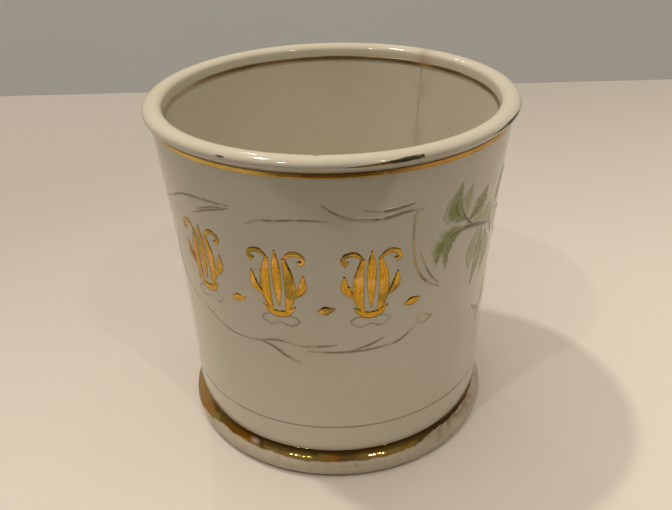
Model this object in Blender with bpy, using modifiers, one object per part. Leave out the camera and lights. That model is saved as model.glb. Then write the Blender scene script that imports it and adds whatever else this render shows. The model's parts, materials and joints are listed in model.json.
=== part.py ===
"""A porcelain shaving mug: a turned body with a rolled lip and a flared foot, an ear-shaped handle stuck
on with slip, and four gilt rings.

Frame: the origin is on the mug's axis, at the centre of the glazed underside. +Z is up, through the mouth,
and the handle points along +Y, so the decorated front faces -Y. The foot stands 1.5 mm below the origin.
"""

import math

import bmesh
import bpy
from mathutils import Matrix, Vector

# Driving dimensions, in metres. A height is measured from the table that the foot stands on.
MUG_HEIGHT = 0.0916
LIP_OUTER_RADIUS = 0.0470
LIP_HALF_WIDTH = 0.00245
LIP_HALF_HEIGHT = 0.0016
WALL_THICKNESS = 0.0036
WALL_TOP_RADIUS = 0.0454
WALL_TOP_HEIGHT = 0.0869
WALL_MID_RADIUS = 0.0426
WALL_LOW_RADIUS = 0.0412
WALL_LOW_HEIGHT = 0.0143
WALL_KNOT_HEIGHTS = (0.0280, 0.0800)
WALL_KNOTS = 5
FLOOR_HEIGHT = 0.0065
FLOOR_CORNER_RADIUS = 0.0070
UNDERSIDE_HEIGHT = 0.0015

# The foot: the wall tapers in to a waist, then a hollow sweep rolls over a bead.
TAPER_HEIGHTS = (0.0100, 0.0125)
WAIST_RADIUS = 0.0403
FOOT_BEAD_RADIUS = 0.0023
FOOT_JOIN_ANGLE = 50
FOOT_OUTER_RADIUS = 0.0430
FOOT_RING_INNER_RADIUS = 0.0365
FOOT_RING_BEVEL = 0.0012

# Gilding, laid in rebates so that it finishes flush with the glaze.
GILT_THICKNESS = 0.0003
GAP = 0.0003
LIP_LINE_HEIGHTS = (0.0868, 0.0883)
RIM_LINE_HEIGHTS = (0.0869, 0.0881)
HAIRLINE_HEIGHTS = (0.0160, 0.0165)
FOOT_BAND_TOP_HEIGHT = 0.0075
FOOT_BAND_END_ANGLE = -70

# The handle, an ear-shaped loop of oval section: fuller above its middle, and thinner towards its lower end.
HANDLE_TOP_HEIGHT = 0.0705
HANDLE_LOW_HEIGHT = 0.0275
HANDLE_REACH = 0.0270
HANDLE_FULLNESS = 0.16
HANDLE_SWEEP_DEG = 98
HANDLE_WIDTH = 0.0112
HANDLE_DEPTH = 0.0068
HANDLE_LOW_SCALE = 0.84
HANDLE_KNOTS = 23
HANDLE_SECTION_KNOTS = 16

# The slip that sticks each end of the handle to the wall shows as a collar a little wider than the handle.
SLIP_THICKNESS = 0.0008
SLIP_MARGIN = 0.0011
SLIP_PLUG_LENGTH = 0.016

TURNED_STEPS = 64
SMOOTH_ANGLE = math.radians(32)
MERGE_DISTANCE = 0.00001

LIP_CENTRE = (LIP_OUTER_RADIUS - LIP_HALF_WIDTH, MUG_HEIGHT - LIP_HALF_HEIGHT)
LIP_FLATNESS = LIP_HALF_HEIGHT / LIP_HALF_WIDTH
FOOT_BEAD_CENTRE = (FOOT_OUTER_RADIUS - FOOT_BEAD_RADIUS, FOOT_BEAD_RADIUS + 0.0001)

PORCELAIN = ("porcelain", (0.80, 0.76, 0.68), 0.12, 0.0)
SLIP = ("slip", (0.78, 0.74, 0.66), 0.16, 0.0)
BRIGHT_GILT = ("bright_gilt", (0.80, 0.55, 0.18), 0.16, 1.0)
WORN_GILT = ("worn_gilt", (0.46, 0.38, 0.26), 0.32, 0.7)


def clear_scene():
    """Removes whatever the scene holds."""
    for obj in list(bpy.data.objects):
        bpy.data.objects.remove(obj, do_unlink=True)


def new_collection(name, is_helper=False):
    collection = bpy.data.collections.new(name)
    collection.hide_render = is_helper
    bpy.context.scene.collection.children.link(collection)
    return collection


def principled(name, colour, roughness, metallic):
    """The material of this name, made the first time it is asked for."""
    material = bpy.data.materials.get(name)
    if material is None:
        material = bpy.data.materials.new(name)
        material.use_nodes = True
        shader = material.node_tree.nodes["Principled BSDF"]
        shader.inputs["Base Color"].default_value = (*colour, 1.0)
        shader.inputs["Roughness"].default_value = roughness
        shader.inputs["Metallic"].default_value = metallic
    return material


def arc(centre, radius, first_deg, last_deg, count, flatness=1.0):
    """Points (r, height) along an arc in the profile's plane, its height scaled by flatness."""
    points = []
    for i in range(count):
        angle = math.radians(first_deg + (last_deg - first_deg) * i / (count - 1))
        rise = radius * flatness * math.sin(angle)
        points.append((centre[0] + radius * math.cos(angle), centre[1] + rise))
    return points


def quadratic(start, control, end, count):
    """Points along a quadratic Bezier curve, both ends included."""
    points = []
    for i in range(count):
        t = i / (count - 1)
        weights = ((1 - t) ** 2, 2 * t * (1 - t), t**2)
        points.append(tuple(sum(w * p[k] for w, p in zip(weights, (start, control, end))) for k in (0, 1)))
    return points


def wall_radius(height):
    """Outer radius of the wall: the parabola through its top, middle and low radii."""
    t = (height - WALL_LOW_HEIGHT) / (WALL_TOP_HEIGHT - WALL_LOW_HEIGHT)
    low_part = WALL_LOW_RADIUS * 2 * (t - 0.5) * (t - 1)
    mid_part = WALL_MID_RADIUS * 4 * t * (1 - t)
    top_part = WALL_TOP_RADIUS * 2 * t * (t - 0.5)
    return low_part + mid_part + top_part


def wall_points(high, low, count, offset=0.0):
    """Points down the wall between two heights, moved outwards by offset."""
    heights = [high + (low - high) * i / (count - 1) for i in range(count)]
    return [(wall_radius(height) + offset, height) for height in heights]


def foot_curve():
    """The foot's outer face, from the gilt band's top edge, through the hollow, round the bead."""
    bead = arc(FOOT_BEAD_CENTRE, FOOT_BEAD_RADIUS, FOOT_JOIN_ANGLE, FOOT_BAND_END_ANGLE, 8)
    join = bead[0]
    rise = (join[0] - WAIST_RADIUS) / math.tan(math.radians(FOOT_JOIN_ANGLE))
    corner = (WAIST_RADIUS, join[1] + rise)
    return quadratic((WAIST_RADIUS, FOOT_BAND_TOP_HEIGHT), corner, join, 6)[:-1] + bead


def offset_inwards(curve, distance):
    """The curve moved to its right, which is into the clay for a curve that runs down the outside."""
    moved = []
    for i, (r, height) in enumerate(curve):
        before = curve[max(i - 1, 0)]
        after = curve[min(i + 1, len(curve) - 1)]
        along = Vector((after[0] - before[0], after[1] - before[1])).normalized()
        moved.append((r + along.y * distance, height - along.x * distance))
    return moved


def rebate(points_high, points_low, depth):
    """A square-shouldered step into the clay between two profile points, depth being negative for inwards."""
    (r_high, high), (r_low, low) = points_high, points_low
    return [(r_high, high), (r_high + depth, high), (r_low + depth, low), (r_low, low)]


def ring_groove(heights, surface_offset, into_clay):
    """The rebate for one gilt line on the wall: wider than the line by the gap at each edge."""
    low, high = heights
    ends = [(wall_radius(h) + surface_offset, h) for h in (high + GAP, low - GAP)]
    return rebate(ends[0], ends[1], into_clay * (GILT_THICKNESS + GAP))


def body_outline():
    """The body's half section: from the inside floor's centre, over the lip, to the underside's centre."""
    inner = -WALL_THICKNESS
    corner_centre = (
        wall_radius(FLOOR_HEIGHT + FLOOR_CORNER_RADIUS) + inner - FLOOR_CORNER_RADIUS,
        FLOOR_HEIGHT + FLOOR_CORNER_RADIUS,
    )
    outline = [(0.0, FLOOR_HEIGHT)]
    outline += arc(corner_centre, FLOOR_CORNER_RADIUS, -90, 0, 6)
    outline += wall_points(*WALL_KNOT_HEIGHTS, WALL_KNOTS, inner)
    outline += reversed(ring_groove(LIP_LINE_HEIGHTS, inner, 1))
    outline += arc(LIP_CENTRE, LIP_HALF_WIDTH, 180, -64, 14, LIP_FLATNESS)
    outline += ring_groove(RIM_LINE_HEIGHTS, 0.0, -1)
    outline += wall_points(*WALL_KNOT_HEIGHTS[::-1], WALL_KNOTS)
    outline += ring_groove(HAIRLINE_HEIGHTS, 0.0, -1)
    foot = foot_curve()
    seat = offset_inwards(foot, GILT_THICKNESS + GAP)
    band_top = (foot[0][0], FOOT_BAND_TOP_HEIGHT + GAP)
    taper_top = wall_points(TAPER_HEIGHTS[1], TAPER_HEIGHTS[0], 2)
    outline += quadratic(taper_top[0], taper_top[1], band_top, 4)
    outline += [(seat[0][0], band_top[1])]
    outline += seat
    outline += [(FOOT_BEAD_CENTRE[0], 0.0), (FOOT_RING_INNER_RADIUS, 0.0)]
    outline += [(FOOT_RING_INNER_RADIUS - FOOT_RING_BEVEL, UNDERSIDE_HEIGHT), (0.0, UNDERSIDE_HEIGHT)]
    return outline


def band_outline(face, depth_side):
    """A gilt ring's closed section: its outer face, then its back, one gilt thickness into the clay."""
    back = offset_inwards(face, depth_side * GILT_THICKNESS)
    return face + back[::-1]


def turned(name, outline, closed, style, collection):
    """Turns a section of (r, height) points round the mug's axis and puts it in the row's frame."""
    mesh = bpy.data.meshes.new(name)
    obj = bpy.data.objects.new(name, mesh)
    collection.objects.link(obj)
    section = bmesh.new()
    corners = [section.verts.new((r, 0.0, height - UNDERSIDE_HEIGHT)) for r, height in outline]
    for first, second in zip(corners, corners[1:]):
        section.edges.new((first, second))
    if closed:
        section.edges.new((corners[-1], corners[0]))
    section.to_mesh(mesh)
    section.free()
    screw = obj.modifiers.new("turn", "SCREW")
    screw.steps = screw.render_steps = TURNED_STEPS
    screw.use_merge_vertices = True
    screw.merge_threshold = MERGE_DISTANCE
    return finished_mesh(obj, style)


def finished_mesh(obj, style):
    """Replaces obj by the mesh its modifiers make, facing outwards, smooth except at real edges."""
    graph = bpy.context.evaluated_depsgraph_get()
    mesh = bpy.data.meshes.new_from_object(obj.evaluated_get(graph))
    work = bmesh.new()
    work.from_mesh(mesh)
    bmesh.ops.remove_doubles(work, verts=work.verts, dist=MERGE_DISTANCE)
    bmesh.ops.recalc_face_normals(work, faces=work.faces)
    work.to_mesh(mesh)
    work.free()
    mesh.shade_smooth()
    mesh.set_sharp_from_angle(angle=SMOOTH_ANGLE)
    mesh.name = obj.name
    mesh.materials.clear()
    mesh.materials.append(principled(*style))
    name, matrix, collection = obj.name, obj.matrix_world.copy(), obj.users_collection[0]
    bpy.data.objects.remove(obj, do_unlink=True)
    made = bpy.data.objects.new(name, mesh)
    made.matrix_world = matrix
    collection.objects.link(made)
    return made


def wall_envelope(name, offset, collection):
    """A solid of the wall's outside, grown by offset: the cutter that fits a piece to the body."""
    high, low = RIM_LINE_HEIGHTS[0], WALL_LOW_HEIGHT
    outline = [(0.0, high)] + wall_points(high, low, 16, offset) + [(0.0, low)]
    cutter = turned(name, outline, False, SLIP, collection)
    cutter.display_type = "WIRE"
    cutter.hide_render = True
    return cutter


def boolean(obj, operation, cutter):
    modifier = obj.modifiers.new(operation.lower(), "BOOLEAN")
    modifier.operation = operation
    modifier.object = cutter
    modifier.solver = "EXACT"


def oval_section(width, depth, collection):
    """A flat oval curve that the handle's path is swept with."""
    curve = bpy.data.curves.new("handle_section", "CURVE")
    spline = curve.splines.new("POLY")
    spline.points.add(HANDLE_SECTION_KNOTS - 1)
    spline.use_cyclic_u = True
    for i, point in enumerate(spline.points):
        angle = math.tau * i / HANDLE_SECTION_KNOTS
        point.co = (width / 2 * math.cos(angle), depth / 2 * math.sin(angle), 0.0, 1.0)
    section = bpy.data.objects.new("handle_section", curve)
    section.hide_render = True
    collection.objects.link(section)
    return section


def handle_path():
    """(y, height, sweep scale) down the handle's centre line, both ends inside the wall."""
    middle = (HANDLE_TOP_HEIGHT + HANDLE_LOW_HEIGHT) / 2
    half = (HANDLE_TOP_HEIGHT - HANDLE_LOW_HEIGHT) / 2
    path = []
    for i in range(HANDLE_KNOTS):
        t = i / (HANDLE_KNOTS - 1)
        angle = math.radians(HANDLE_SWEEP_DEG * (1 - 2 * t))
        height = middle + half * math.sin(angle)
        out = HANDLE_REACH * math.cos(angle) * (1 + HANDLE_FULLNESS * math.sin(angle))
        path.append((wall_radius(height) + out, height, 1 + (HANDLE_LOW_SCALE - 1) * t))
    return path


def handle(fit_cutter, collection, helpers):
    """Sweeps the oval along the path, then cuts both ends to the wall's curve."""
    curve = bpy.data.curves.new("handle", "CURVE")
    curve.dimensions = "3D"
    curve.bevel_mode = "OBJECT"
    curve.bevel_object = oval_section(HANDLE_WIDTH, HANDLE_DEPTH, helpers)
    curve.use_fill_caps = True
    path = handle_path()
    spline = curve.splines.new("POLY")
    spline.points.add(len(path) - 1)
    for point, (y, height, scale) in zip(spline.points, path):
        point.co = (0.0, y, height - UNDERSIDE_HEIGHT, 1.0)
        point.radius = scale
    loop = bpy.data.objects.new("handle", curve)
    collection.objects.link(loop)
    bpy.context.view_layer.update()
    loop = finished_mesh(loop, PORCELAIN)
    boolean(loop, "DIFFERENCE", fit_cutter)
    return finished_mesh(loop, PORCELAIN)


def slip_joint(name, end, before_end, outer_cutter, inner_cutter, collection):
    """The pad of slip between one end of the handle and the wall, standing out a little all round it."""
    y0, h0, scale = end
    along = Vector((0.0, before_end[0] - y0, before_end[1] - h0)).normalized()
    half_width = HANDLE_WIDTH / 2 * scale + SLIP_MARGIN
    half_depth = HANDLE_DEPTH / 2 * scale + SLIP_MARGIN
    bpy.ops.mesh.primitive_cylinder_add(vertices=28, radius=1.0, depth=SLIP_PLUG_LENGTH)
    plug = bpy.context.object
    plug.name = name
    for previous in plug.users_collection:
        previous.objects.unlink(plug)
    collection.objects.link(plug)
    plug.data.transform(Matrix.Diagonal((half_width, half_depth, 1.0, 1.0)))
    turn = along.to_track_quat("Z", "Y").to_matrix().to_4x4()
    plug.data.transform(turn)
    plug.location = (0.0, y0, h0 - UNDERSIDE_HEIGHT)
    bpy.context.view_layer.update()
    boolean(plug, "INTERSECT", outer_cutter)
    boolean(plug, "DIFFERENCE", inner_cutter)
    return finished_mesh(plug, SLIP)


def gilt_rings(collection):
    """The four gilt rings, each finishing flush with the surface it lies in."""
    for name, heights, offset, style, side in (
        ("lip_gilt_line", LIP_LINE_HEIGHTS, -WALL_THICKNESS, WORN_GILT, -1),
        ("rim_gilt_line", RIM_LINE_HEIGHTS, 0.0, BRIGHT_GILT, 1),
        ("foot_gilt_hairline", HAIRLINE_HEIGHTS, 0.0, WORN_GILT, 1),
    ):
        face = wall_points(heights[1], heights[0], 2, offset)
        turned(name, band_outline(face, side), True, style, collection)
    turned("foot_gilt_band", band_outline(foot_curve(), 1), True, BRIGHT_GILT, collection)


def main():
    clear_scene()
    parts = new_collection("shaving_mug")
    helpers = new_collection("cutters", is_helper=True)
    turned("mug_body", body_outline(), False, PORCELAIN, parts)
    gilt_rings(parts)
    against_wall = wall_envelope("cut_at_wall", GAP, helpers)
    over_slip = wall_envelope("cut_over_slip", GAP + SLIP_THICKNESS, helpers)
    under_handle = wall_envelope("cut_under_handle", 2 * GAP + SLIP_THICKNESS, helpers)
    handle(under_handle, parts, helpers)
    path = handle_path()
    slip_joint("upper_slip_joint", path[1], path[2], over_slip, against_wall, parts)
    slip_joint("lower_slip_joint", path[-2], path[-3], over_slip, against_wall, parts)


main()
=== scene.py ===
import json
import math

import bmesh
import bpy
import numpy as np
from mathutils import Matrix, Vector, noise


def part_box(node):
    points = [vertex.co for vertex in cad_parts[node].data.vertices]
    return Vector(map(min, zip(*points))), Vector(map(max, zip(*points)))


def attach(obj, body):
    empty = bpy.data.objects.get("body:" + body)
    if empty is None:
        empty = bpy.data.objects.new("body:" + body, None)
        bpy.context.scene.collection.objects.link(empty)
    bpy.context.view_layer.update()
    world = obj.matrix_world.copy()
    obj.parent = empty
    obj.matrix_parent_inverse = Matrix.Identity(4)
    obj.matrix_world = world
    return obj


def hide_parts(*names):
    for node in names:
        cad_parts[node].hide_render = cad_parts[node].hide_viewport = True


# The shaving mug's looks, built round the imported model. Lengths are in millimetres, heights are measured
# from the table, and azimuths are in degrees round the mug's axis: 0 faces the viewer's side (-Y), and
# they grow towards +X.
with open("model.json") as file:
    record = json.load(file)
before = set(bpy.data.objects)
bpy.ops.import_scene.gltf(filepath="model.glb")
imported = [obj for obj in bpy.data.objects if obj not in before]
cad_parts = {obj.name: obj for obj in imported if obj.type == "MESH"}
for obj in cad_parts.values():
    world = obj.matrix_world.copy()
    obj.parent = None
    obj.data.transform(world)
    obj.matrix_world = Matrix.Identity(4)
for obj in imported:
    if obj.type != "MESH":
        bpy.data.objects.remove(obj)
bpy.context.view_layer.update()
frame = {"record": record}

MM = 0.001
TABLE_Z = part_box("mug_body")[0].z


def extent(node):
    """(largest radius along X, lowest height, highest height) of a CAD node."""
    low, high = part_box(node)
    return high.x / MM, (low.z - TABLE_Z) / MM, (high.z - TABLE_Z) / MM


def mount_height(name):
    mount = next(m for m in frame["record"]["mounts"] if m["name"] == name)
    return (mount["pos_m"][2] - TABLE_Z) / MM


# ---- the turned shape, from the CAD's own sizes

LIP_RADIUS, _, MUG_HEIGHT = extent("mug_body")
RIM_RADIUS, RIM_LINE_LOW, RIM_LINE_HIGH = extent("rim_gilt_line")
_, LIP_LINE_LOW, LIP_LINE_HIGH = extent("lip_gilt_line")
LOW_RADIUS, HAIRLINE_LOW, HAIRLINE_HIGH = extent("foot_gilt_hairline")
FOOT_RADIUS, _, BAND_TOP = extent("foot_gilt_band")
FLOOR_HEIGHT = mount_height("soap_floor")
UNDERSIDE_HEIGHT = mount_height("underside")
MID_RADIUS = 42.6
WALL_FOOT_HEIGHT = 13.5
WAIST_START, WAIST_TURN = 12.5, 9.5
WALL_THICKNESS = 3.6
LIP_HALF_WIDTH, LIP_HALF_HEIGHT = 2.43, 1.56
LIP_FLATNESS = LIP_HALF_HEIGHT / LIP_HALF_WIDTH
LIP_ARC_DEG = (166, -62)
LIP_CENTRE = (LIP_RADIUS - 0.03 - LIP_HALF_WIDTH, MUG_HEIGHT - 0.08 - LIP_HALF_HEIGHT)
FLOOR_FILLET = 7.0
FOOT_BEAD = 2.3
FOOT_BEAD_CENTRE = (FOOT_RADIUS - 0.06 - FOOT_BEAD, FOOT_BEAD + 0.1)
FOOT_JOIN_DEG = 51
WAIST_RADIUS = 40.3
FOOT_BEAD_END_DEG = -80
FOOT_RING_INNER = 36.5
UNDERSIDE_FLAT = 30
AROUND = 288
ON_AXIS = 1e-6
CLAY_WANDER = 0.06


def wall_radius(height):
    """Outer radius of the wall: the parabola through its low, middle and top radii."""
    t = (height - HAIRLINE_LOW) / (RIM_LINE_HIGH - HAIRLINE_LOW)
    low = LOW_RADIUS * 2 * (t - 0.5) * (t - 1)
    return low + MID_RADIUS * 4 * t * (1 - t) + RIM_RADIUS * 2 * t * (t - 0.5)


def arc(centre, radius, first_deg, last_deg, count, flatness=1.0):
    angles = np.radians(np.linspace(first_deg, last_deg, count))
    return [(centre[0] + radius * math.cos(a), centre[1] + radius * flatness * math.sin(a)) for a in angles]


def bend(start, control, end, count):
    """Points on a quadratic Bezier curve."""
    points = []
    for t in np.linspace(0, 1, count):
        weights = ((1 - t) ** 2, 2 * t * (1 - t), t * t)
        points.append(tuple(sum(w * p[k] for w, p in zip(weights, (start, control, end))) for k in (0, 1)))
    return points


def wall_run(first, last, count, inwards=0.0):
    return [(wall_radius(h) - inwards, h) for h in np.linspace(first, last, count)]


def foot_face():
    """The foot's outer face, from the top of its gilding through the hollow and round the bead."""
    bead = arc(FOOT_BEAD_CENTRE, FOOT_BEAD, FOOT_JOIN_DEG, FOOT_BEAD_END_DEG, 22)
    rise = (bead[0][0] - WAIST_RADIUS) / math.tan(math.radians(FOOT_JOIN_DEG))
    corner = (WAIST_RADIUS, bead[0][1] + rise)
    return bend((WAIST_RADIUS, BAND_TOP), corner, bead[0], 16)[:-1] + bead


def body_section():
    """Half section of the porcelain, from the middle of the inside floor over the lip to the underside."""
    fillet_height = FLOOR_HEIGHT + FLOOR_FILLET
    fillet_centre = (wall_radius(fillet_height) - WALL_THICKNESS - FLOOR_FILLET, fillet_height)
    section = [(r, FLOOR_HEIGHT) for r in np.linspace(0, fillet_centre[0], 8)[:-1]]
    section += arc(fillet_centre, FLOOR_FILLET, -90, 0, 14)
    section += wall_run(fillet_height + 3, LIP_LINE_HIGH, 28, WALL_THICKNESS)
    lip = arc(LIP_CENTRE, LIP_HALF_WIDTH, *LIP_ARC_DEG, 44, LIP_FLATNESS)
    section += bend(section[-1], (section[-1][0], lip[0][1] - 0.8), lip[0], 7)[1:-1] + lip
    section += bend(section[-1], (RIM_RADIUS + 0.03, RIM_LINE_HIGH + 0.3), (RIM_RADIUS, RIM_LINE_HIGH), 5)[1:]
    section += wall_run(RIM_LINE_HIGH - 1, WALL_FOOT_HEIGHT, 34)
    section += bend((wall_radius(WAIST_START), WAIST_START), (wall_radius(WAIST_TURN), WAIST_TURN),
                    (WAIST_RADIUS, BAND_TOP), 8)
    section += foot_face()[1:]
    section += bend((FOOT_RING_INNER + 1, 0.0), (FOOT_RING_INNER, 0.0), (FOOT_RING_INNER - 0.5, 0.6), 4)
    section += [(FOOT_RING_INNER - 1.2, UNDERSIDE_HEIGHT)]
    return section + [(r, UNDERSIDE_HEIGHT) for r in np.linspace(UNDERSIDE_FLAT, 0, 5)]


# ---- making meshes


def mesh_piece(name, points_mm, faces, material, paint=None):
    """One closed mesh in the frame. paint holds three numbers a point, which the materials read."""
    mesh = bpy.data.meshes.new(name)
    mesh.from_pydata([(x * MM, y * MM, z * MM + TABLE_Z) for x, y, z in points_mm], [], faces)
    work = bmesh.new()
    work.from_mesh(mesh)
    bmesh.ops.recalc_face_normals(work, faces=work.faces)
    work.to_mesh(mesh)
    work.free()
    mesh.shade_smooth()
    if paint is not None:
        attribute = mesh.attributes.new("paint", "FLOAT_VECTOR", "POINT")
        attribute.data.foreach_set("vector", np.asarray(paint, np.float32).ravel())
    obj = bpy.data.objects.new(name, mesh)
    bpy.context.scene.collection.objects.link(obj)
    mesh.materials.append(material)
    return obj


def on_root(piece, slot, *nodes):
    """Every piece of the mug rides on its only body. nodes are the CAD nodes that it takes the place of."""
    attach(piece, "root")
    if nodes:
        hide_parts(*nodes)


def polar(azimuth_deg, radius, height):
    a = math.radians(azimuth_deg)
    return (radius * math.sin(a), -radius * math.cos(a), height)


def unevenness(azimuth_deg, height):
    """How far the hand-finished clay strays inwards of a true turning."""
    a = math.radians(azimuth_deg)
    return CLAY_WANDER * (noise.noise(Vector((1.3 * math.cos(a), 1.3 * math.sin(a), height * 0.02))) - 0.5)


def uneven_clay(azimuth_deg, radius, height):
    """The wobble of the porcelain: none at the middle of its floor and its underside."""
    return unevenness(azimuth_deg, height) if radius > 1 else 0.0, 0.0


def turn(name, section, material, wobble, closed=False):
    """Turns a half section round the axis. wobble moves its points, and those on the axis become one."""
    points, rings = [], []
    for r, height in section:
        if r < ON_AXIS:
            rings.append([len(points)])
            points.append((0.0, 0.0, height))
            continue
        rings.append(range(len(points), len(points) + AROUND))
        for k in range(AROUND):
            azimuth = 360 * k / AROUND
            dr, dh = wobble(azimuth, r, height)
            points.append(polar(azimuth, r + dr, height + dh))
    pairs = list(zip(rings, rings[1:]))
    if closed:
        pairs.append((rings[-1], rings[0]))
    faces = []
    for upper, lower in pairs:
        for k in range(AROUND):
            after = (k + 1) % AROUND
            round_face = ((upper, k), (upper, after), (lower, after), (lower, k))
            faces.append(tuple(dict.fromkeys(ring[i % len(ring)] for ring, i in round_face)))
    return mesh_piece(name, points, faces, material)


def shifted(curve, outwards):
    """The curve moved to its left, which is away from the clay for a curve that runs down the outside."""
    moved = []
    for i, (r, height) in enumerate(curve):
        before = curve[max(i - 1, 0)]
        after = curve[min(i + 1, len(curve) - 1)]
        dr, dh = after[0] - before[0], after[1] - before[1]
        length = math.hypot(dr, dh)
        moved.append((r - dh / length * outwards, height + dr / length * outwards))
    return moved


# ---- gilding and paint: thin closed films that lie on a surface of the mug

GILT_LIFT, GILT_DEPTH = 0.03, 0.12
FILM_DEPTH = 0.06
THINNEST_HALF_WIDTH = 0.03
STROKE_LAYER, STROKE_LAYERS = 0.006, 5
SEED_STEP = 0.37
LEAF_TEETH = 4.5


def on_wall(along, height, lift):
    """The point of the outer wall that lies this far round it (mm at its middle radius) and this high."""
    return polar(math.degrees(along / MID_RADIUS), wall_radius(height) + lift, height)


def on_lip(along, round_lip, lift):
    """The point of the lip at this arc round the mug and this arc up round the lip (0 faces outwards)."""
    radius, height = LIP_CENTRE
    angle = round_lip / LIP_HALF_WIDTH
    azimuth = math.degrees(along / radius)
    out = (LIP_HALF_WIDTH + lift) * math.cos(angle)
    return polar(azimuth, radius + out, height + (LIP_HALF_HEIGHT + lift) * math.sin(angle))


def smooth_path(knots, step):
    """Catmull-Rom points through the knots, about one step apart. A knot may hold extra values."""
    knots = [np.array(k, float) for k in knots]
    ends = [2 * knots[0] - knots[1]] + knots + [2 * knots[-1] - knots[-2]]
    points = []
    for a, b, c, d in zip(ends, ends[1:], ends[2:], ends[3:]):
        count = max(2, int(np.linalg.norm((c - b)[:2]) / step) + 1)
        for t in np.linspace(0, 1, count, endpoint=False):
            bow, twist = 2 * a - 5 * b + 4 * c - d, 3 * b - a - 3 * c + d
            points.append(0.5 * (2 * b + (c - a) * t + bow * t**2 + twist * t**3))
    return points + [knots[-1]]


class Film:
    """Collects brush strokes on one surface, and makes them one piece of closed, slightly raised patches."""

    def __init__(self, surface, lift):
        self.surface = surface
        self.lift = lift
        self.points = []
        self.faces = []
        self.paint = []
        self.strokes = 0

    def stroke(self, knots, origin=(0.0, 0.0), columns=5, step=0.45, ragged=0.0, toothed=0.0, mirror=False):
        """A stroke through knots (mm along, mm up, half width), ragged or toothed as a leaf is."""
        seed = (self.strokes * SEED_STEP) % 1.0
        sign = -1.0 if mirror else 1.0
        spine = smooth_path([(origin[0] + sign * u, origin[1] + v, w) for u, v, w in knots], step)
        spine = [(p[0], p[1], max(p[2], THINNEST_HALF_WIDTH)) for p in spine]
        start = len(self.points)
        base_lift = self.lift + STROKE_LAYER * (self.strokes % STROKE_LAYERS)
        for i, (u, v, half) in enumerate(spine):
            before = spine[max(i - 1, 0)]
            after = spine[min(i + 1, len(spine) - 1)]
            du, dv = after[0] - before[0], after[1] - before[1]
            length = math.hypot(du, dv) or 1.0
            side = (-dv / length, du / length)
            t = i / (len(spine) - 1)
            rough = 1 + ragged * noise.noise(Vector((u * 1.7, v * 1.7, 5.0 + seed)))
            rough *= 1 - toothed * abs(math.sin(t * math.pi * LEAF_TEETH))
            for top in (True, False):
                for across in np.linspace(-1, 1, columns):
                    reach = across * half * rough
                    swell = (1 - across * across) * min(0.03, half * 0.04)
                    lift = base_lift + swell if top else -FILM_DEPTH
                    self.points.append(self.surface(u + side[0] * reach, v + side[1] * reach, lift))
                    self.paint.append((across, t, seed))
        row = 2 * columns
        last = columns - 1
        for i in range(len(spine) - 1):
            here, there = start + i * row, start + (i + 1) * row
            under, under_there = here + columns, there + columns
            for c in range(last):
                self.faces.append((here + c, here + c + 1, there + c + 1, there + c))
                self.faces.append((under + c, under_there + c, under_there + c + 1, under + c + 1))
            self.faces.append((here, there, under_there, under))
            self.faces.append((here + last, under + last, under_there + last, there + last))
        for end in (start, start + (len(spine) - 1) * row):
            top_row = [end + c for c in range(columns)]
            under_row = [end + columns + c for c in range(columns)]
            self.faces += [(a, b, d, c) for a, b, c, d in zip(top_row, top_row[1:], under_row, under_row[1:])]
        self.strokes += 1

    def piece(self, name, material, slot):
        on_root(mesh_piece(name, self.points, self.faces, material, self.paint), slot)


def gilt_ring(name, face, material, slot, node, wander):
    """A closed ring whose face lies just proud of the surface, with edges that wander as if hand-painted."""
    front = shifted(face, GILT_LIFT)
    back = shifted(face, -GILT_DEPTH)
    low, high = min(h for _, h in face), max(h for _, h in face)

    def wobble(azimuth, r, height):
        edge = (height - low) / (high - low) * 2 - 1
        a = math.radians(azimuth)
        drift = noise.noise(Vector((3 * math.cos(a), 3 * math.sin(a), 2 + edge)))
        drift += 0.5 * noise.noise(Vector((11 * math.cos(a), 11 * math.sin(a), 7 + edge)))
        return unevenness(azimuth, height), wander * drift * abs(edge) ** 4

    on_root(turn(name, front + back[::-1], material, wobble, closed=True), slot, node)


# ---- materials


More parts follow.
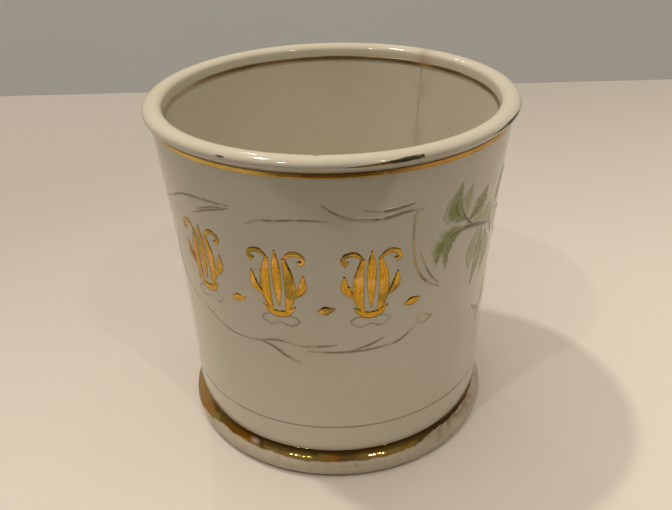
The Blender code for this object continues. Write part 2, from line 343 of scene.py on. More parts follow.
class Graph:
    """Shorthand for the nodes of a material or a world: each method adds a node and returns its output."""

    def __init__(self, owner):
        self.owner = owner
        owner.use_nodes = True
        self.tree = owner.node_tree
        self.tree.nodes.clear()

    def axes(self, vector):
        node = self.tree.nodes.new("ShaderNodeSeparateXYZ")
        self.tree.links.new(vector, node.inputs[0])
        return node.outputs

    def add(self, kind, inputs, output=0, **settings):
        node = self.tree.nodes.new(kind)
        for key, value in settings.items():
            setattr(node, key, value)
        for key, value in inputs.items():
            if isinstance(value, bpy.types.NodeSocket):
                self.tree.links.new(value, node.inputs[key])
            elif isinstance(value, tuple) and len(value) == 3 and node.inputs[key].type == "RGBA":
                node.inputs[key].default_value = (*value, 1.0)
            else:
                node.inputs[key].default_value = value
        return node.outputs[output]

    def math(self, operation, a, b=0.0):
        return self.add("ShaderNodeMath", {0: a, 1: b}, operation=operation)

    def chain(self, operation, values):
        total = values[0]
        for value in values[1:]:
            total = self.math(operation, total, value)
        return total

    def plus(self, *values):
        return self.chain("ADD", values)

    def minus(self, *values):
        return self.chain("SUBTRACT", values)

    def multiply(self, *values):
        return self.chain("MULTIPLY", values)

    def largest(self, *values):
        return self.chain("MAXIMUM", values)

    def absolute(self, value):
        return self.math("ABSOLUTE", value)

    def ramp(self, value, low, high, bottom=0.0, top=1.0):
        """bottom below low, top above high, and a smooth step between."""
        inputs = {"Value": value, "From Min": low, "From Max": high, "To Min": bottom, "To Max": top}
        return self.add("ShaderNodeMapRange", inputs, interpolation_type="SMOOTHSTEP")

    def near(self, value, centre, half_width):
        """1 at the centre, falling smoothly to 0 half a width away."""
        distance = self.absolute(self.minus(value, centre))
        return self.ramp(distance, 0.0, half_width, 1.0, 0.0)

    def noise(self, where, scale, detail=3.0, roughness=0.55):
        inputs = {"Vector": where, "Scale": scale, "Detail": detail, "Roughness": roughness}
        return self.add("ShaderNodeTexNoise", inputs)

    def colour(self, factor, a, b):
        return self.add("ShaderNodeMix", {0: factor, 6: a, 7: b}, output=2, data_type="RGBA")

    def position(self):
        """Where the shaded point is in the frame, in mm."""
        at = self.add("ShaderNodeTexCoord", {}, output="Object")
        return self.add("ShaderNodeVectorMath", {0: at, "Scale": 1 / MM}, operation="SCALE")

    def place(self):
        """(mm position, azimuth in degrees, height in mm above the table, radius in mm)."""
        at = self.position()
        x, y, z = self.axes(at)
        azimuth = self.math("DEGREES", self.math("ARCTAN2", x, self.multiply(y, -1.0)))
        radius = self.math("SQRT", self.plus(self.math("POWER", x, 2.0), self.math("POWER", y, 2.0)))
        return at, azimuth, self.minus(z, TABLE_Z / MM), radius

    def paint(self):
        """(across, along, seed) of a film's strokes."""
        return self.axes(self.add("ShaderNodeAttribute", {}, output="Vector", attribute_name="paint"))

    def bump(self, height, strength, distance, normal=None):
        inputs = {"Height": height, "Strength": strength, "Distance": distance}
        if normal is not None:
            inputs["Normal"] = normal
        return self.add("ShaderNodeBump", inputs)

    def surface(self, colour, roughness, normal, metallic=0.0):
        inputs = {"Base Color": colour, "Roughness": roughness, "Metallic": metallic, "Normal": normal}
        return self.add("ShaderNodeBsdfPrincipled", {**inputs, "IOR": GLAZE_IOR})

    def mixed(self, factor, a, b):
        return self.add("ShaderNodeMixShader", {0: factor, 1: a, 2: b})

    def finish(self, shader, kind="ShaderNodeOutputMaterial"):
        output = self.tree.nodes.new(kind)
        self.tree.links.new(shader, output.inputs["Surface"])
        return self.owner


def material_graph(name):
    return Graph(bpy.data.materials.new(name))


CRACK_AZIMUTH = 158.5
GLAZE_IOR = 1.52
PORCELAIN = (0.70, 0.662, 0.555)
PORCELAIN_DEEP = (0.68, 0.638, 0.520)
SPECK = (0.40, 0.32, 0.22)
STAIN_AND_SHADE = (0.30, 0.20, 0.11)
RUST = (0.42, 0.25, 0.15)
ORNAMENT_GOLD = (0.68, 0.42, 0.030)
ORNAMENT_ORANGE = (0.60, 0.26, 0.030)
ORNAMENT_OLIVE = (0.26, 0.185, 0.035)
ORNAMENT_ROSE_HIGHLIGHT = (0.92, 0.50, 0.16)
ORNAMENT_GHOST = (0.40, 0.30, 0.16)
LINE_GOLD_HIGHLIGHT = (0.90, 0.64, 0.13)
LINE_ORANGE = (0.60, 0.32, 0.05)
INNER_LINE_BROWN = (0.30, 0.185, 0.065)
INNER_LINE_DARK = (0.18, 0.115, 0.045)
INNER_LINE_ORANGE = (0.62, 0.33, 0.12)
INNER_LINE_GHOST = (0.40, 0.33, 0.22)
FOOT_ORANGE = (0.44, 0.165, 0.012)
FOOT_OLIVE = (0.36, 0.25, 0.06)
FOOT_MURK = (0.17, 0.10, 0.03)
FOOT_HOLLOW_DARK_REFLECTION = (0.10, 0.062, 0.022)
FOOT_LEFT = (0.46, 0.32, 0.14)
FOOT_RIGHT = (0.15, 0.10, 0.05)
FOOT_GHOST = (0.37, 0.29, 0.20)
FOOT_RUST = (0.33, 0.19, 0.095)
SMEAR_YELLOW = (0.50, 0.30, 0.05)
SMEAR_OLIVE_DARK_REFLECTION = (0.060, 0.058, 0.014)
HAIRLINE_BROWN = (0.16, 0.125, 0.075)
FLOURISH_BROWN = (0.17, 0.125, 0.06)
FLOURISH_GLEAM = (0.55, 0.40, 0.12)
LOOP_BROWN = (0.20, 0.16, 0.12)
LEAF_LIGHT, LEAF_DARK = (0.285, 0.335, 0.048), (0.125, 0.155, 0.013)
PALE_LEAF_LIGHT, PALE_LEAF_DARK = (0.42, 0.45, 0.20), (0.27, 0.31, 0.085)
STEM_OLIVE = (0.105, 0.105, 0.035)
TWIG_BROWN = (0.15, 0.11, 0.075)


def glaze(graph, at, tint=None, amount=None):
    """The glazed porcelain's colour, roughness and waviness, with an optional tint over part of it."""
    patches = graph.ramp(graph.noise(at, 0.035, 4.0), 0.42, 0.68)
    specks = graph.ramp(graph.noise(at, 1.9, 2.0, 0.7), 0.755, 0.81)
    colour = graph.colour(patches, PORCELAIN, PORCELAIN_DEEP)
    colour = graph.colour(graph.multiply(specks, 0.30), colour, SPECK)
    if tint is not None:
        colour = graph.colour(amount, colour, tint)
    roughness = graph.ramp(graph.noise(at, 0.12, 5.0, 0.65), 0.3, 0.75, 0.055, 0.15)
    wave = graph.noise(at, 0.085, 2.0, 0.4)
    pits = graph.noise(at, 0.9, 2.0)
    normal = graph.bump(pits, 0.10, 0.00004, graph.bump(wave, 0.30, 0.0006))
    return graph.surface(colour, roughness, normal)


def porcelain():
    """Glazed porcelain with a stained hairline crack through the wall, and painted shade under the lip and
    just above the foot.
    """
    graph = material_graph("porcelain_glaze")
    at, azimuth, height, radius = graph.place()
    wall_only = graph.ramp(radius, 30.0, 36.0)
    reach = graph.multiply(graph.ramp(height, 40.0, 62.0), wall_only)
    wander = graph.multiply(graph.minus(graph.noise(at, 0.07, 3.0), 0.5), 1.6)
    crack_at = graph.plus(azimuth, wander)
    line = graph.multiply(graph.near(crack_at, CRACK_AZIMUTH, 1.1), reach, 0.34)
    blotch = graph.ramp(graph.noise(at, 0.11, 3.0, 0.55), 0.42, 0.66)
    halo = graph.multiply(graph.near(crack_at, CRACK_AZIMUTH - 1.0, 6.0), reach, blotch)
    on_lip_top = graph.ramp(height, MUG_HEIGHT - 3.2, MUG_HEIGHT - 2.4)
    lip_stain = graph.multiply(graph.near(azimuth, CRACK_AZIMUTH, 3.2), on_lip_top, 0.38)
    # painted shade: the glaze is darkened in the crease under the lip, where shade falls
    under_lip = graph.near(height, RIM_LINE_HIGH + 0.3, 0.35)
    crease_shade = graph.multiply(under_lip, graph.ramp(radius, 44.6, 45.2), 0.55)
    # painted shade and dark reflection just above the foot's gilding, stronger and taller towards the sides
    # as the camera sees them
    turned = graph.absolute(graph.minus(azimuth, CAMERA_AZIMUTH))
    waist_shade_strength = graph.ramp(turned, 70.0, 88.0, 0.22, 0.70)
    waist_shade_reach = graph.ramp(turned, 70.0, 88.0, 1.0, 3.4)
    waist_shade = graph.ramp(graph.math("DIVIDE", graph.minus(height, BAND_TOP), waist_shade_reach), 1.0, 0.2)
    waist_shade = graph.multiply(waist_shade, waist_shade_strength, graph.ramp(radius, 39.0, 40.0))
    inside = graph.multiply(graph.ramp(radius, 43.2, 42.6), wall_only)
    junction = graph.multiply(graph.near(azimuth, CRACK_AZIMUTH - 1.5, 5.0), 0.62, inside)
    junction = graph.multiply(junction, graph.near(height, LIP_LINE_HIGH, 1.6))
    # real stains round the crack, and the painted shade in the crease and at the waist, share this tint
    tint = graph.colour(graph.ramp(graph.largest(halo, junction), 0.0, 0.5), STAIN_AND_SHADE, RUST)
    amount = graph.largest(line, lip_stain, crease_shade, waist_shade, junction, graph.multiply(halo, 0.30))
    return graph.finish(glaze(graph, at, tint, amount))


def gilt_surface(graph, colour, roughness, brush, strength=0.45, metallic=0.9):
    """Fired gold over glaze: a warm mirror, lumpy from the brush."""
    return graph.surface(colour, roughness, graph.bump(brush, strength, 0.0004), metallic)


def faded(graph, azimuth, ends, soft):
    """1 between two azimuths, falling to 0 past them."""
    first, last = ends
    return graph.multiply(graph.ramp(azimuth, first - soft, first), graph.ramp(azimuth, last + soft, last))


def ornament_gold():
    """Thick burnished gold, drawn with several pen strokes side by side, so that it is streaked along, with
    rosy patches of painted highlight.
    """
    graph = material_graph("ornament_gold")
    at = graph.position()
    across, _, seed = graph.paint()
    bent = graph.plus(across, graph.multiply(graph.noise(at, 0.30, 3.0), 0.9))
    streak = graph.math("SINE", graph.multiply(graph.plus(bent, seed), 7.5))
    colour = graph.colour(graph.ramp(streak, -0.2, 0.9), ORNAMENT_GOLD, ORNAMENT_ORANGE)
    gaps = graph.ramp(graph.noise(at, 0.5, 3.0), 0.40, 0.60)
    thin = graph.multiply(graph.ramp(streak, -0.55, -1.0), gaps, 0.8)
    edge = graph.multiply(graph.ramp(graph.absolute(across), 0.70, 0.98), 0.75)
    # painted highlight: rosy patches scattered over the gold
    rosy_highlight = graph.ramp(graph.noise(at, 0.21, 2.0), 0.54, 0.64, 0.0, 0.6)
    colour = graph.colour(rosy_highlight, colour, ORNAMENT_ROSE_HIGHLIGHT)
    dull = graph.ramp(graph.noise(at, 0.16, 2.0, 0.4), 0.44, 0.34, 0.0, 0.75)
    colour = graph.colour(graph.largest(thin, edge, dull), colour, ORNAMENT_OLIVE)
    roughness = graph.ramp(graph.noise(at, 0.7, 3.0), 0.3, 0.7, 0.16, 0.34)
    brush = graph.plus(graph.noise(at, 0.30, 3.0, 0.5), graph.multiply(streak, 0.05))
    gold = gilt_surface(graph, colour, roughness, brush)
    kept = graph.ramp(graph.noise(at, 0.75, 4.0, 0.65), 0.66, 0.70, 1.0, 0.25)
    return graph.finish(graph.mixed(kept, glaze(graph, at, ORNAMENT_GHOST, 0.4), gold))


def inner_line_gold():
    """The line inside the lip, gone dull: a brushed lower edge, and nearly rubbed away at one side."""
    graph = material_graph("inner_line_gold")
    at, azimuth, height, _ = graph.place()
    cloud = graph.ramp(graph.noise(at, 0.09, 3.0), 0.35, 0.65)
    colour = graph.colour(cloud, INNER_LINE_BROWN, INNER_LINE_DARK)
    colour = graph.colour(graph.near(azimuth, CRACK_AZIMUTH - 1.5, 6.0), colour, INNER_LINE_ORANGE)
    gold = gilt_surface(graph, colour, 0.28, graph.noise(at, 0.2, 2.0, 0.4), 0.3)
    edge = graph.plus(height, graph.multiply(graph.noise(at, 0.12, 3.0), 0.5))
    rubbed = graph.near(azimuth, -82.0, 34.0)
    kept = graph.ramp(edge, LIP_LINE_LOW + 0.45, LIP_LINE_LOW + 0.95)
    kept = graph.multiply(kept, graph.ramp(rubbed, 0.0, 0.8, 0.92, 0.30))
    return graph.finish(graph.mixed(kept, glaze(graph, at, INNER_LINE_GHOST, 0.35), gold))


def line_gold(name, front, side, ends):
    """A painted gold ring: one colour facing the viewer, another to its left that is a painted highlight, and
    thin past its ends.
    """
    graph = material_graph(name)
    at, azimuth, _, _ = graph.place()
    # painted highlight: the ring turns yellower towards the viewer's left, where it curves away
    colour = graph.colour(graph.ramp(azimuth, 12.0, -12.0), front, side)
    shade = graph.ramp(graph.noise(at, 0.10, 3.0), 0.3, 0.7, 0.0, 0.45)
    colour = graph.colour(shade, colour, tuple(0.55 * c for c in front))
    gold = gilt_surface(graph, colour, 0.22, graph.noise(at, 0.16, 2.0, 0.4), 0.25, 0.68)
    thin = graph.ramp(graph.noise(at, 0.22, 3.0, 0.5), 0.60, 0.72, 1.0, 0.35)
    kept = graph.largest(faded(graph, azimuth, ends, 26.0), graph.ramp(thin, 0.6, 1.0, 0.0, 0.4))
    bare = glaze(graph, at, tuple(0.5 * c for c in side), 0.35)
    return graph.finish(graph.mixed(graph.multiply(kept, thin), bare, gold))


def foot_gilding():
    """The foot's gilt band: whole in the hollow, painted dark over the hollow's upper part as a dark
    reflection, rubbed down to a stain over the bead, and worn to a thin line at the right."""
    graph = material_graph("foot_gilding")
    at, azimuth, height, _ = graph.place()
    left_end = graph.near(azimuth, -72.0, 44.0)
    worn = graph.multiply(graph.ramp(azimuth, 44.0, 60.0), graph.ramp(azimuth, 158.0, 134.0))
    colour = graph.colour(graph.ramp(graph.noise(at, 0.10, 2.0), 0.40, 0.58), FOOT_ORANGE, FOOT_OLIVE)
    murk = graph.ramp(graph.noise(at, 0.13, 3.0, 0.5), 0.50, 0.60)
    colour = graph.colour(graph.multiply(murk, 0.7), colour, FOOT_MURK)
    # painted reflection: the hollow's upper part is darkened as if it mirrored the dim room
    hollow = graph.ramp(height, BAND_TOP - 1.5, BAND_TOP - 0.5)
    colour = graph.colour(graph.multiply(hollow, 0.85), colour, FOOT_HOLLOW_DARK_REFLECTION)
    colour = graph.colour(graph.multiply(left_end, 0.85), colour, FOOT_LEFT)
    colour = graph.colour(graph.multiply(worn, 0.7), colour, FOOT_RIGHT)
    lumps = graph.plus(graph.noise(at, 0.20, 2.0, 0.4), graph.multiply(graph.noise(at, 0.9, 2.0), 0.03))
    brush = graph.minus(lumps, graph.multiply(height, 0.95))
    gold = gilt_surface(graph, colour, 0.085, brush, 1.0, 0.62)
    ragged = graph.multiply(graph.noise(at, 0.25, 4.0, 0.6), 1.1)
    edge = graph.plus(height, ragged, graph.multiply(left_end, 3.0))
    edge = graph.minus(edge, graph.multiply(worn, 1.15))
    threads = graph.ramp(graph.noise(at, 0.35, 4.0, 0.7), 0.54, 0.68, 0.0, 0.26)
    threads = graph.multiply(threads, graph.ramp(height, 1.2, 3.0))
    chip = graph.multiply(graph.near(azimuth, -16.0, 3.0), graph.near(height, 5.6, 1.0), 0.9)
    kept = graph.minus(graph.largest(graph.ramp(edge, 4.95, 5.35), threads), chip)
    rust_patches = graph.ramp(graph.noise(at, 0.16, 3.0), 0.46, 0.62)
    rust = graph.multiply(worn, graph.near(height, 5.6, 2.6), rust_patches)
    tint = graph.colour(rust, FOOT_GHOST, FOOT_RUST)
    bead = glaze(graph, at, tint, graph.ramp(rust, 0.0, 1.0, 0.50, 0.80))
    return graph.finish(graph.mixed(kept, bead, gold))


def ring_stain(name, colour, strength, ends):
    """A thin ring that has lost its shine: only a stained line is left, fainter past its ends."""
    graph = material_graph(name)
    at, azimuth, _, _ = graph.place()
    kept = graph.ramp(graph.noise(at, 0.10, 3.0), 0.35, 0.65, 0.72, 1.0)
    shown = graph.ramp(faded(graph, azimuth, ends, 30.0), 0.0, 1.0, 0.35, 1.0)
    return graph.finish(glaze(graph, at, colour, graph.multiply(kept, shown, strength)))


def smeared_gold():
    """Gold rubbed along the lip: yellow and thin in one short stretch, dark olive and thick elsewhere, where
    the near-black olive is a painted dark reflection.
    """
    graph = material_graph("smeared_gold")
    at, azimuth, _, _ = graph.place()
    across = graph.paint()[0]
    thick = graph.largest(graph.ramp(azimuth, 29.0, 34.0), graph.ramp(azimuth, 27.0, 23.0))
    # painted reflection: the thick smears are near black, as gold mirroring the dim room
    colour = graph.colour(thick, SMEAR_YELLOW, SMEAR_OLIVE_DARK_REFLECTION)
    body = graph.ramp(graph.absolute(across), 1.0, 0.45)
    kept = graph.multiply(body, graph.ramp(graph.noise(at, 0.45, 3.0), 0.28, 0.45, 0.55, 0.95))
    gold = graph.surface(colour, 0.26, graph.bump(graph.noise(at, 0.4, 2.0), 0.3, 0.0003), 0.45)
    return graph.finish(graph.mixed(kept, glaze(graph, at), gold))


def leaf_paint(name, light, dark, strength):
    """Enamel brushed on thin: it pools dark along the midrib and one edge, and fades out past it."""
    graph = material_graph(name)
    at = graph.position()
    across, along, _ = graph.paint()
    off_middle = graph.absolute(across)
    body = graph.ramp(off_middle, 1.0, 0.48)
    wash = graph.ramp(graph.noise(at, 0.28, 4.0, 0.6), 0.3, 0.6, 0.72, 1.0)
    rib = graph.near(off_middle, 0.0, 0.20)
    slope = graph.minus(graph.multiply(along, 9.0), graph.multiply(off_middle, 2.2))
    veins = graph.near(graph.math("FRACT", slope), 0.5, 0.22)
    veins = graph.multiply(veins, graph.ramp(off_middle, 0.95, 0.6), 0.40)
    pool = graph.ramp(across, -0.1, 0.9, 0.0, 0.75)
    pigment = graph.colour(graph.largest(rib, veins, pool), light, dark)
    return graph.finish(glaze(graph, at, pigment, graph.multiply(body, wash, strength)))


def line_paint(name, colour, strength, breaks, gleam=None):
    """A thin line of enamel or worn gilding, dull and broken up. gleam is the tint where gold is left."""
    graph = material_graph(name)
    at = graph.position()
    across = graph.paint()[0]
    body = graph.ramp(graph.absolute(across), 1.0, 0.35)
    kept = graph.ramp(graph.noise(at, 0.22, 3.0, 0.55), 0.5 - breaks, 0.66 - breaks, 0.40, 1.0)
    if gleam is not None:
        colour = graph.colour(graph.ramp(graph.noise(at, 0.07, 2.0), 0.54, 0.64), colour, gleam)
    return graph.finish(glaze(graph, at, colour, graph.multiply(body, kept, strength)))


# ---- the pieces


def at_wall(azimuth_deg, height, half_width):
    """A stroke's knot, from an azimuth round the wall."""
    return (math.radians(azimuth_deg) * MID_RADIUS, height, half_width)


def wall_knots(half_width, *places):
    """Knots of a line that thins towards both its ends."""
    widths = [half_width] * len(places)
    widths[0] = widths[-1] = half_width * LINE_TIP
    return [at_wall(azimuth, height, width) for (azimuth, height), width in zip(places, widths)]


def add_ornaments(gold, line):
    """Three stylised lily ornaments in raised gold, each on a faded looped base line."""
    petals = Film(on_wall, 0.035)
    loops = Film(on_wall, 0.015)
    for azimuth, height in ORNAMENT_PLACES:
        centre = (math.radians(azimuth) * MID_RADIUS, height)
        for mirror in (False, True):
            for knots, step, ragged in PAIRED_PETALS:
                petals.stroke(knots, centre, step=step, ragged=ragged, mirror=mirror)
            loops.stroke(ORNAMENT_LOOP, centre, columns=3, mirror=mirror)
        for knots, ragged in MIDDLE_PETALS:
            petals.stroke(knots, centre, ragged=ragged)
    petals.piece("gold_ornaments", gold, "bright_gilt")
    loops.piece("ornament_loops", line, "worn_gilt")


def add_lozenges(gold):
    """The small gold lozenges between the ornaments."""
    film = Film(on_wall, 0.03)
    for azimuth, height in LOZENGE_PLACES:
        film.stroke(LOZENGE, (math.radians(azimuth) * MID_RADIUS, height), step=0.25, ragged=0.15)
    film.piece("gold_lozenges", gold, "bright_gilt")


def add_flourishes(line):
    """The thin worn flourishes that frame the ornaments."""
    film = Film(on_wall, 0.012)
    for half_width, places in FLOURISHES:
        film.stroke(wall_knots(half_width * FLOURISH_WEIGHT, *places))
    film.piece("gilt_flourishes", line, "worn_gilt")


def add_sprig(green, pale, brown, stem):
    """The painted sprig: broad toothed leaves on two thin stems, and a bare twig below them."""
    leaves = Film(on_wall, 0.012)
    for base, middle, tip, half_width in LEAVES:
        knots = [at_wall(*base, 0.25), at_wall(*middle, half_width), at_wall(*tip, 0.08)]
        leaves.stroke(knots, columns=9, ragged=0.45, toothed=0.16)
    leaves.piece("painted_leaves", green, "porcelain")
    faint = Film(on_wall, 0.008)
    for base, middle, tip, half_width in PALE_LEAVES:
        knots = [at_wall(*base, 0.4), at_wall(*middle, half_width), at_wall(*tip, 0.2)]
        faint.stroke(knots, columns=9, ragged=0.45)
    faint.piece("pale_leaves", pale, "porcelain")
    stems = Film(on_wall, 0.03)
    for half_width, places in STEMS:
        stems.stroke(wall_knots(half_width, *places), columns=3)
    stems.piece("painted_stems", stem, "porcelain")
    twig = Film(on_wall, 0.010)
    for half_width, places in TWIGS:
        twig.stroke(wall_knots(half_width, *places), ragged=0.5)
    twig.piece("painted_twig", brown, "porcelain")


def add_lip_gilding(gold):
    """What is left of the gilding on the lip: a few smears."""
    film = Film(on_lip, 0.02)
    for smear in LIP_SMEARS:
        knots = [(math.radians(a) * LIP_CENTRE[0], math.radians(b) * LIP_HALF_WIDTH, w) for a, b, w in smear]
        film.stroke(knots, columns=9, ragged=0.35)
    film.piece("worn_lip_gilding", gold, "worn_gilt")


HANDLE_TOP, HANDLE_LOW = 70.5, 27.5
HANDLE_REACH = 27.0
HANDLE_FULLNESS = 0.16
HANDLE_WIDTH, HANDLE_DEPTH = 11.2, 6.8
HANDLE_LOW_SCALE = 0.84
HANDLE_SWEEP_DEG = 98
HANDLE_SWELL, HANDLE_SWELL_REACH = 0.30, 2.6
HANDLE_SQUARENESS = (0.88, 0.92)
HANDLE_SUNK = 1.6
HANDLE_RINGS, HANDLE_ROUND = 96, 40
FILLET_ON_HANDLE, FILLET_ON_WALL = 1.7, 1.5
FILLET_STEPS = 7


def handle_centre(t):
    """(y, height) down the handle's centre line."""
    angle = math.radians(HANDLE_SWEEP_DEG * (1 - 2 * t))
    height = (HANDLE_TOP + HANDLE_LOW) / 2 + (HANDLE_TOP - HANDLE_LOW) / 2 * math.sin(angle)
    out = HANDLE_REACH * math.cos(angle) * (1 + HANDLE_FULLNESS * math.sin(angle))
    return wall_radius(height) + out, height


def signed_power(value, power):
    return math.copysign(abs(value) ** power, value)


def handle_rings():
    """Rings of points down the handle. The section is a slightly squared oval that swells at the wall."""
    rings = []
    for i in range(HANDLE_RINGS):
        t = i / (HANDLE_RINGS - 1)
        y, height = handle_centre(t)
        (y0, h0), (y1, h1) = handle_centre(t - 0.002), handle_centre(t + 0.002)
        length = math.hypot(y1 - y0, h1 - h0)
        outwards = ((h0 - h1) / length, (y1 - y0) / length)
        from_wall = max(y - wall_radius(height), 0.0)
        swell = 1 + HANDLE_SWELL * math.exp(-((from_wall / HANDLE_SWELL_REACH) ** 2))
        scale = (1 + (HANDLE_LOW_SCALE - 1) * t) * swell
        ring = []
        for k in range(HANDLE_ROUND):
            a = math.tau * k / HANDLE_ROUND
            x = HANDLE_WIDTH / 2 * scale * signed_power(math.cos(a), HANDLE_SQUARENESS[0])
            deep = HANDLE_DEPTH / 2 * scale * signed_power(math.sin(a), HANDLE_SQUARENESS[1])
            ring.append((x, y + outwards[0] * deep, height + outwards[1] * deep))
        rings.append(ring)
    return np.array(rings)


def add_handle(material):
    """Adds the handle, cut off just inside the wall, and returns the rings of the whole of it."""
    rings = handle_rings()
    inside = np.hypot(rings[..., 0], rings[..., 1]) < wall_radius(rings[..., 2]) - HANDLE_SUNK
    kept = rings[~inside.all(axis=1)]
    count = len(kept)
    points = [tuple(p) for p in kept.reshape(-1, 3)]
    faces = []
    for i in range(count - 1):
        for k in range(HANDLE_ROUND):
            after = (k + 1) % HANDLE_ROUND
            faces.append((i * HANDLE_ROUND + k, i * HANDLE_ROUND + after,
                          (i + 1) * HANDLE_ROUND + after, (i + 1) * HANDLE_ROUND + k))
    faces.append(tuple(range(HANDLE_ROUND)))
    faces.append(tuple(range((count - 1) * HANDLE_ROUND, count * HANDLE_ROUND)))
    on_root(mesh_piece("mug_handle", points, faces, material), "porcelain", "handle")
    return rings


def add_slip_fillet(name, node, rings, material):
    """The smoothed slip round one end of the handle: a hollow fillet from the handle to the wall."""
    reach = np.hypot(rings[..., 0], rings[..., 1]) - wall_radius(rings[..., 2])
    sections = []
    for k in range(HANDLE_ROUND):
        track, out = rings[:, k], reach[:, k]
        cross = int(np.argmax(out > 0))
        share = -out[cross - 1] / (out[cross] - out[cross - 1])
        root = track[cross - 1] + share * (track[cross] - track[cross - 1])
        beyond = track[min(cross + 12, len(track) - 1)]
        on_handle = root + (beyond - root) / np.linalg.norm(beyond - root) * FILLET_ON_HANDLE
        sections.append((root, on_handle))
    middle = np.mean([root for root, _ in sections], axis=0)
    points, faces = [], []
    for root, on_handle in sections:
        away = root - middle
        away -= np.array([0, 1, 0]) * away[1]
        on_wall_point = root + away / np.linalg.norm(away) * FILLET_ON_WALL
        radius = wall_radius(on_wall_point[2])
        on_wall_point[1] = math.sqrt(radius**2 - on_wall_point[0] ** 2)
        inwards = (middle - root) * 0.25 + np.array([0, -0.6, 0])
        curve = [
            (1 - t) ** 2 * on_handle + 2 * t * (1 - t) * root + t * t * on_wall_point
            for t in np.linspace(0, 1, FILLET_STEPS)
        ]
        points += [tuple(p) for p in curve]
        points += [tuple(on_wall_point + inwards), tuple(root + inwards * 1.5), tuple(on_handle + inwards)]
    row = FILLET_STEPS + 3
    for k in range(HANDLE_ROUND):
        here, there = k * row, (k + 1) % HANDLE_ROUND * row
        for s in range(row):
            after = (s + 1) % row
            faces.append((here + s, here + after, there + after, there + s))
    on_root(mesh_piece(name, points, faces, material), "slip", node)


# ---- where the decoration goes: (azimuth, height) on the wall

ORNAMENT_PLACES = ((-28.5, 59.5), (0.0, 58.5), (28.6, 58.5))
LOZENGE_PLACES = ((-14.6, 52.9), (14.9, 52.9), (42.6, 52.7))

# (half width, places) of each line, widened by FLOURISH_WEIGHT and thinned to LINE_TIP at its ends
FLOURISH_WEIGHT = 1.6
LINE_TIP = 0.35
FLOURISHES = (
    (0.30, ((-54, 70), (-42, 73.6), (-34, 76.2), (-24, 77.4), (-13, 77.9))),
    (0.26, ((-29, 72.7), (-22, 75.0), (-15, 76.6))),
    (0.22, ((-27, 74.2), (-20, 76.2), (-13, 77.2))),
    (0.22, ((-8, 74.3), (-4, 75.8), (1, 76.2), (8, 76.8), (16, 76.7))),
    (0.34, ((14.5, 80.7), (18, 78.6), (22, 77.2), (28, 76.5), (33, 76.5), (38, 77.2), (44, 77.1))),
    (0.30, ((26, 78.9), (31, 78.2), (36, 78.4), (41, 79.0))),
    (0.30, ((43.8, 77.6), (41.6, 76.0), (41.2, 72), (41.6, 67), (43, 62), (46, 58), (50, 55.6),
            (52.5, 54.2))),
    (0.20, ((44, 66), (46, 62), (49, 58), (52.3, 55.4))),
    (0.26, ((50.8, 46.2), (47.2, 47.6), (45, 47.0), (46.5, 45.2), (50, 46.0))),
    (0.26, ((44.5, 45.2), (39.5, 42.4), (35.8, 41.4), (30, 41.2))),
    (0.30, ((34, 44.2), (29, 42.4), (23, 41.1))),
    (0.26, ((6, 42.0), (12, 42.3), (18, 42.8))),
    (0.26, ((8, 40.7), (18, 40.6), (28, 40.8), (36, 41.2))),
    (0.24, ((-34, 46.0), (-27, 43.4), (-20, 41.6), (-10, 41.4))),
    (0.24, ((-9.5, 41.4), (-2, 43.0), (6, 42.0))),
    (0.34, ((-10, 42.0), (-4, 41.0), (1, 38.6), (6, 36.9))),
    (0.20, ((-44, 64), (-48, 60), (-50, 54), (-46, 49), (-38, 45.5))),
)

# (base, middle, tip, half width at the middle) of each leaf
LEAVES = (
    ((61.6, 69.8), (56.2, 73.8), (57.6, 80.4), 3.7),
    ((63.0, 69.2), (69.4, 72.0), (72.0, 76.0), 3.5),
    ((62.4, 67.8), (54.6, 66.6), (54.2, 58.6), 3.7),
    ((56.4, 67.2), (51.4, 65.2), (50.0, 60.6), 2.4),
    ((72.2, 64.4), (73.4, 57.4), (69.4, 49.4), 2.5),
    ((76.0, 62.4), (79.6, 56.2), (75.8, 50.8), 2.3),
    ((82.0, 68.0), (88.0, 73.0), (95.0, 74.5), 2.8),
    ((88.0, 62.0), (94.0, 57.5), (99.0, 52.0), 2.7),
    ((95.0, 64.0), (102.0, 67.0), (108.0, 72.0), 2.6),
)
PALE_LEAVES = (
    ((66.0, 68.0), (74.0, 67.6), (84.0, 65.4), 2.4),
    ((70.4, 64.8), (67.8, 60.0), (66.6, 54.6), 2.2),
    ((61.4, 71.4), (61.6, 75.0), (62.6, 79.0), 1.7),
    ((78.0, 66.0), (85.0, 62.5), (91.0, 60.5), 3.0),
)
STEMS = (
    (0.85, ((53.6, 66.4), (57.0, 67.4), (60.8, 67.6), (64.4, 67.2), (70.0, 66.0), (77.0, 64.2))),
    (0.42, ((58.0, 74.6), (60.6, 71.2), (64.0, 68.4), (69.6, 65.8), (77.0, 64.2))),
    (0.34, ((77.0, 64.2), (86.0, 62.8), (95.0, 64.0), (104.0, 62.0), (110.0, 57.0))),
    (0.14, ((69.6, 48.8), (71.6, 53.0), (73.4, 58.0), (72.4, 64.0))),
    (0.22, ((54.2, 58.4), (54.6, 62.0), (56.0, 66.4))),
)
TWIGS = (
    (0.70, ((93.0, 41.0), (86.0, 38.6), (81.6, 36.8), (79.6, 33.4))),
    (0.75, ((73.4, 41.0), (76.6, 39.2), (80.4, 37.4), (83.0, 37.6))),
    (0.40, ((84.6, 45.6), (83.4, 41.4), (81.6, 36.8))),
)

